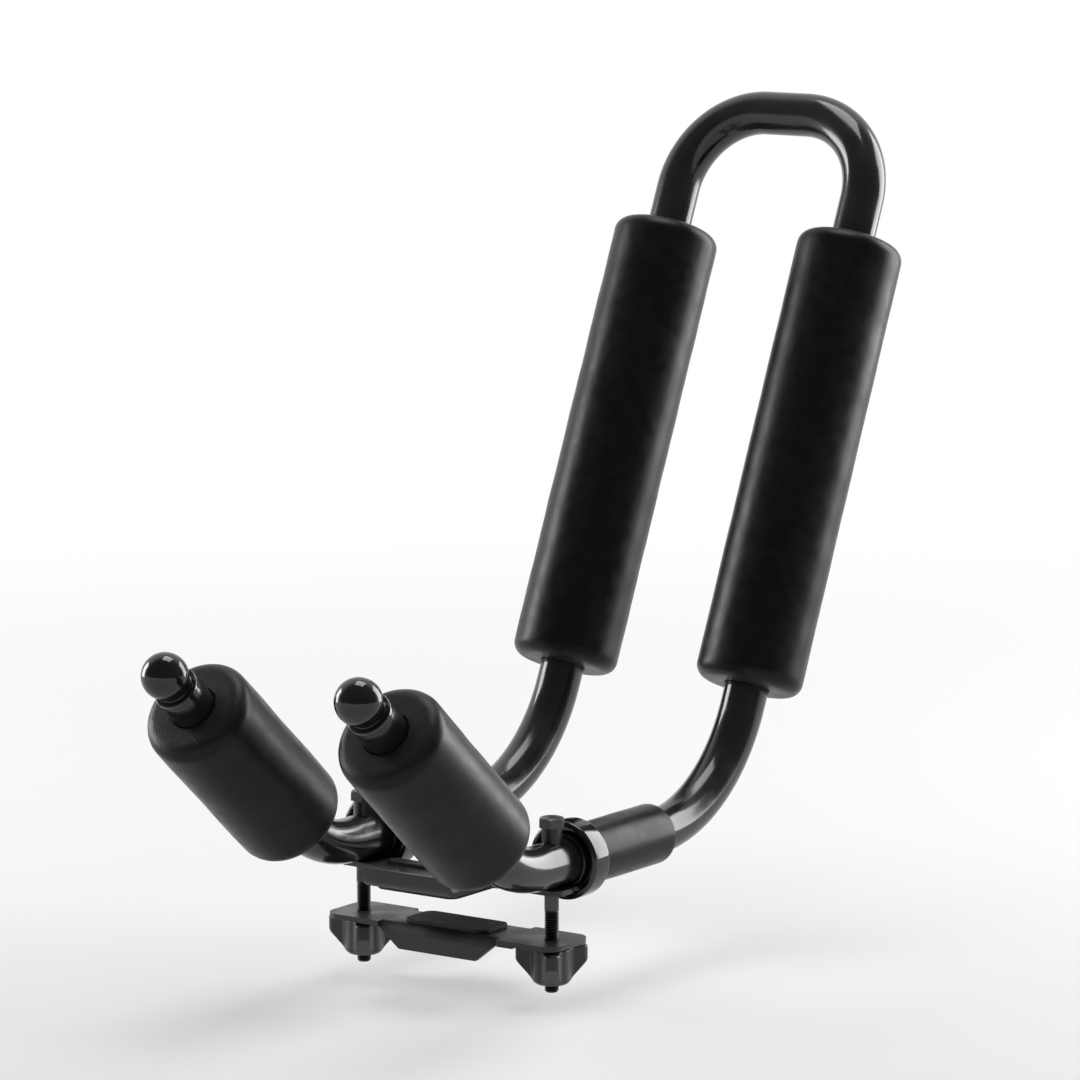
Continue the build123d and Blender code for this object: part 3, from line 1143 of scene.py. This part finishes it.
@dataclass
class Collars:
    """The moulded collars on the base runs, beside the bolts."""

    layout: CradleLayout
    clearance: float = 0.1 * MM
    wall: float = 9.2 * MM
    rim: float = 3 * MM
    hub: float = 2.2 * MM
    recess: float = 6 * MM
    edge: float = 2 * MM
    lip_edge: float = 0.6 * MM
    floor_edge: float = 1.1 * MM
    corner_steps: int = 8
    around: int = 128

    def build(self) -> None:
        """Turn a collar for each leg.

        Its closed section has a ring recess on the bolt's side and corners rounded by tangent arcs, and
        it is turned about the base run.
        """
        for side in Side:
            low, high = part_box(side.named("collar"))
            length = high.y - low.y
            bore = self.layout.tube_r + self.clearance
            outer = bore + self.wall
            hub, rim = bore + self.hub, outer - self.rim
            corners = [
                (bore, length / 2), (bore, 0), (hub, 0), (hub, self.recess), (rim, self.recess),
                (rim, 0), (outer, 0), (outer, length), (bore, length), (bore, length / 2),
            ]
            lip, floor = self.lip_edge, self.floor_edge
            radii = [lip, lip, floor, floor, lip, self.edge, self.edge, lip]
            profile = rounded_route(np.array(corners), radii, self.corner_steps)[0]
            axle = self.layout.base_run(side, low.y)
            made = surface(side.named("tube_collar"), axle.turned(profile, self.around))
            settle(made, Body.CRADLE, GLOSS_PLASTIC, side.named("collar"))


@dataclass
class ClampBolts:
    """The hex bolts through tube, saddle and jaw, with their thread."""

    layout: CradleLayout
    shank_r: float = 4 * MM
    head_flats: float = 13 * MM
    head_height: float = 5.3 * MM
    head_chamfer: float = radians(30)
    chamfer_drop: float = 0.9 * MM
    chamfer_rows: int = 10
    face_share: float = 0.95
    tip_chamfer: float = 1 * MM
    thread_length: float = 46 * MM
    pitch: float = 1.25 * MM
    thread_depth: float = 0.62 * MM
    crest: float = 0.15
    crease: float = radians(40)
    rows_per_turn: int = 12
    around: int = 96

    def shank(self, length: float) -> tuple[Array, Array, Array]:
        """Rows of the shank, from its tip to the head's seat, and the depth of the thread's groove.

        The groove follows the triangle wave |2 frac(z / pitch - t / 2 pi) - 1|, flattened at crest and
        root, and fades out over the last turn. The tip's chamfer caps the radius.

        Args:
            length: Length of the shank below the head.

        Returns:
            Heights of shape (rows,), and radii and groove depth of shape (rows, around).
        """
        rows = int(self.thread_length / self.pitch * self.rows_per_turn)
        height = np.append(np.linspace(-length, self.thread_length - length, rows), 0.0)
        level = height[:, None]
        phase = level / self.pitch - full_turn(self.around) / (2 * pi)
        wave = np.abs(2 * (phase - np.floor(phase)) - 1)
        runout = np.clip((self.thread_length - length - level) / self.pitch, 0.0, 1.0)
        groove = np.clip((wave - self.crest) / (1 - 2 * self.crest), 0.0, 1.0) * runout
        tip = self.shank_r - self.tip_chamfer + level + length
        radius = np.minimum(self.shank_r - self.thread_depth * groove, tip)
        return height, radius, groove

    def head(self) -> tuple[Array, Array]:
        """Rows of the head, from its seat to its top face.

        The plan is a hexagon with corners along X, a / cos(t mod 60 - 30) with a half the width across
        flats. A cone that meets the top face a little inside the flats and falls outwards cuts it.

        Returns:
            Heights of shape (rows,) and radii of shape (rows, around).
        """
        half, top = self.head_flats / 2, self.head_height
        hexagon = half / np.cos(np.mod(full_turn(self.around), pi / 3) - pi / 6)
        height = np.append(0.0, np.linspace(top - self.chamfer_drop, top, self.chamfer_rows))
        cone = self.face_share * half + (top - height[:, None]) / tan(self.head_chamfer)
        return height, np.minimum(hexagon, cone)

    def build(self) -> None:
        """Build both bolts, each as one closed surface from its tip to the top of its head.

        Its points are (r cos t, r sin t, z) about the bolt's axle, row by row of the shank and the head.
        """
        for side in Side:
            node = side.named("clamp_bolt")
            low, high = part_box(node)
            seat = high.z - self.head_height
            shank_z, shank_r, groove = self.shank(seat - low.z)
            head_z, head_r = self.head()
            closed = np.zeros((1, self.around))
            height = np.concatenate([shank_z[:1], shank_z, head_z, head_z[-1:]])
            radius = np.concatenate([closed, shank_r, head_r, closed])
            # the groove mask also places the bolt finish's painted shade in the grooves
            masks = {"groove": np.concatenate([closed, groove, np.zeros_like(head_r), closed])}
            centre_line = np.stack([np.zeros_like(height), height], axis=1)
            points = self.layout.bolt(side, seat).turned(centre_line, self.around, radius)
            made = surface(side.named("hex_bolt"), points, masks=masks, crease=self.crease)
            settle(made, Body.CRADLE, BLACK_PLATE, node)


@dataclass
class ClampFittings:
    """Pressed plates, rubber liners and small fittings of the clamp, from their solids."""

    plate_edge: float = 0.6 * MM
    liner_edge: float = 0.35 * MM
    small_edge: float = 0.25 * MM

    def fitting(self, name: str, node: str, body: Body, finish: Finish, edge: float) -> None:
        """One fitting: the construction mesh joined up, its sharp edges rounded.

        Args:
            name: Name of the piece.
            node: The construction node it stands for.
            body: The body it moves with.
            finish: Its finish.
            edge: Width of its edge rounding.
        """
        made = welded_copy(name, node)
        soften_edges(made, edge)
        settle(made, body, finish, node)

    def build(self) -> None:
        """Build the plates, the liners and each leg's small fittings."""
        self.fitting("pressed_saddle", "saddle_plate", Body.CRADLE, PLATE_COAT, self.plate_edge)
        self.fitting("saddle_rubber", "saddle_liner", Body.CRADLE, RUBBER, self.liner_edge)
        self.fitting("pressed_jaw", "jaw_plate", Body.JAW, PLATE_COAT, self.plate_edge)
        self.fitting("jaw_rubber", "jaw_liner", Body.JAW, RUBBER, self.liner_edge)
        for side in Side:
            small = (
                ("head_spacer", "bolt_spacer", Body.CRADLE, KNOB_PLASTIC),
                ("flat_washer", "thrust_washer", Body.JAW, BLACK_PLATE),
                ("hex_nut", "knob_nut", side.knob(), BLACK_PLATE),
            )
            for piece, node, body, finish in small:
                self.fitting(side.named(piece), side.named(node), body, finish, self.small_edge)


@dataclass
class WingKnobs:
    """The moulded three-wing knobs."""

    crease: float = radians(50)

    def build(self) -> None:
        """Build each knob from its construction solid, whose edges are already rounded."""
        for side in Side:
            made = welded_copy(side.named("three_wing_knob"), side.named("wing_knob"), self.crease)
            weights = made.modifiers.new("face_weighting", "WEIGHTED_NORMAL")
            weights.keep_sharp = True
            settle(made, side.knob(), KNOB_PLASTIC, side.named("wing_knob"))


# Studio


@dataclass(frozen=True)
class SoftBox:
    """A studio lamp, placed to the right of, towards and above the object as the camera sees it."""

    name: str
    right: float
    near: float
    up: float
    width: float
    height: float
    radiance: float


@dataclass
class Studio:
    """Pale floor, soft lamps, white surroundings and the camera."""

    azimuth: float = radians(35)
    elevation: float = radians(9)
    distance: float = 3.1
    lens: float = 185.0
    floor_r: float = 40.0
    floor_middle_r: float = 0.2
    floor_rings: int = 24
    floor_around: int = 64
    floor_gap: float = 0.5 * MM
    floor_colour: Rgb = (0.82, 0.82, 0.82)
    floor_white: float = 0.45
    floor_fade: Band = (0.3, 1.6)
    fill: float = 0.14
    backdrop: float = 1.0
    backdrop_band: Band = (-0.1, 0.35)
    lamps: tuple[SoftBox, ...] = (
        SoftBox("left_softbox", -1.5, -0.6, 0.35, 0.6, 0.95, 10.0),
        SoftBox("right_softbox", 1.5, -0.75, 0.6, 1.0, 1.5, 7.0),
        SoftBox("overhead_softbox", 0.1, -0.3, 1.9, 1.0, 1.0, 5.5),
    )

    @property
    def centre(self) -> Vector:
        """Middle of the object."""
        return (CAD_BOX[0] + CAD_BOX[1]) / 2

    def towards_camera(self) -> Vector:
        """Direction from the object to the camera."""
        flat = cos(self.elevation)
        return Vector((sin(self.azimuth) * flat, -cos(self.azimuth) * flat, sin(self.elevation)))

    def floor_height(self) -> float:
        """Height of the floor, a hair under the lowest point that the clamp reaches at any pose.

        Returns:
            The height.
        """
        travel = max(joint["range_m"][1] for joint in frame["joints"] if joint["type"] == "slide")
        knob_foot = min(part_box(side.named("wing_knob"))[0].z for side in Side)
        return min(CAD_BOX[0].z, knob_foot - travel) - self.floor_gap

    def build_floor(self) -> None:
        """Round floor under the object; towards its rim it fades into the white surroundings.

        Its points are (r cos t, r sin t, z) on rings r that widen outwards.
        """
        ring = np.append(0.0, np.geomspace(self.floor_middle_r, self.floor_r, self.floor_rings))
        profile = np.stack([ring, np.zeros_like(ring)], axis=1)
        axle = Axle(np.array([self.centre.x, self.centre.y, self.floor_height()]), Z_AXIS)
        grid = axle.turned(profile, self.floor_around)
        faces = grid_quads(grid.shape[0], grid.shape[1], (False, True))[:, ::-1]
        made = mesh_object("pale_floor", grid.reshape(-1, 3), faces, SURFACE_CREASE)
        made.data.materials.append(self.floor_material())

    def floor_material(self) -> bpy.types.Material:
        """Pale floor that keeps shadows, and is white far out to the camera and to mirrors.

        The white grows with the distance in plan from the object's middle. From below it is clear.

        Returns:
            The material.
        """
        made = bpy.data.materials.new("pale_floor")
        sheet = blank_sheet(made)
        matt = sheet.add("ShaderNodeBsdfDiffuse", {"Color": opaque(self.floor_colour)})
        white = sheet.add("ShaderNodeEmission", {"Color": opaque(WHITE), "Strength": 1.0})
        clear = sheet.add("ShaderNodeBsdfTransparent")
        offset = sheet.vector_math("SUBTRACT", sheet.place(), self.centre).outputs["Vector"]
        in_plan = sheet.vector_math("MULTIPLY", offset, X_AXIS + Y_AXIS).outputs["Vector"]
        far = sheet.vector_math("LENGTH", in_plan).outputs["Value"]
        faded = sheet.ramp(far, self.floor_fade, (self.floor_white, 1.0))
        seen = sheet.reckon("MAXIMUM", sheet.camera_rays(), sheet.mirrored_rays())
        amount = sheet.reckon("MULTIPLY", faded, seen)
        top = sheet.mix_shaders(amount, matt, white)
        below = sheet.add("ShaderNodeNewGeometry").outputs["Backfacing"]
        both = sheet.mix_shaders(below, top, clear)
        sheet.add("ShaderNodeOutputMaterial", {"Surface": both.outputs[0]})
        return made

    def build_world(self) -> None:
        """White surroundings for the camera, a white backdrop to be mirrored, and a fill.

        The backdrop is behind the object: a direction d lies behind it by -d . c, with c the direction
        to the camera.
        """
        world = bpy.data.worlds.new("studio")
        sheet = blank_sheet(world)
        away = sheet.add("ShaderNodeTexCoord").outputs["Generated"]
        behind = sheet.vector_math("DOT_PRODUCT", away, -self.towards_camera()).outputs["Value"]
        backdrop = sheet.ramp(behind, self.backdrop_band, (self.fill, self.backdrop))
        shown = sheet.reckon("MULTIPLY", backdrop, sheet.mirrored_rays())
        indirect = sheet.reckon("MAXIMUM", shown, self.fill)
        strength = sheet.reckon("MAXIMUM", indirect, sheet.camera_rays())
        light = {"Color": opaque(WHITE), "Strength": strength}
        background = sheet.add("ShaderNodeBackground", light)
        sheet.add("ShaderNodeOutputWorld", {"Surface": background.outputs[0]})
        bpy.context.scene.world = world

    def aimed(self, data: bpy.types.ID, offset: Vector) -> bpy.types.Object:
        """Lamp or camera at an offset from the object's middle, aimed at the middle.

        Args:
            data: The light or the camera.
            offset: Way from the middle to its place.

        Returns:
            The object, linked into the scene.
        """
        made = bpy.data.objects.new(data.name, data)
        made.location = self.centre + offset
        made.rotation_euler = (-offset).to_track_quat("-Z", "Y").to_euler()
        bpy.context.scene.collection.objects.link(made)
        return made

    def build_lamps(self) -> None:
        """Softboxes aimed at the object; a lamp's power is radiance times area times pi."""
        near = self.towards_camera()
        right = Vector((cos(self.azimuth), sin(self.azimuth), 0.0))
        for box in self.lamps:
            light = bpy.data.lights.new(box.name, "AREA")
            light.shape = "RECTANGLE"
            light.size, light.size_y = box.width, box.height
            light.energy = box.radiance * box.width * box.height * pi
            self.aimed(light, box.right * right + box.near * near + box.up * Vector(Z_AXIS))

    def build_camera(self) -> None:
        """Camera at the photograph's angle, aimed at the object's middle."""
        lens = bpy.data.cameras.new("camera")
        lens.lens = self.lens
        bpy.context.scene.camera = self.aimed(lens, self.distance * self.towards_camera())

    def build(self) -> None:
        """Set up the whole studio."""
        self.build_camera()
        self.build_floor()
        self.build_world()
        self.build_lamps()
        bpy.context.scene.view_settings.view_transform = "Standard"


def main() -> None:
    """Build the studio and every piece, in order."""
    logging.basicConfig(level=logging.INFO, format="%(name)s: %(message)s")
    layout = CradleLayout.from_frame()
    Studio().build()
    CradleTube(layout).build()
    FoamSleeves(layout).build()
    BallCaps(layout).build()
    Collars(layout).build()
    ClampBolts(layout).build()
    ClampFittings().build()
    WingKnobs().build()


if __name__ == "__main__":
    main()
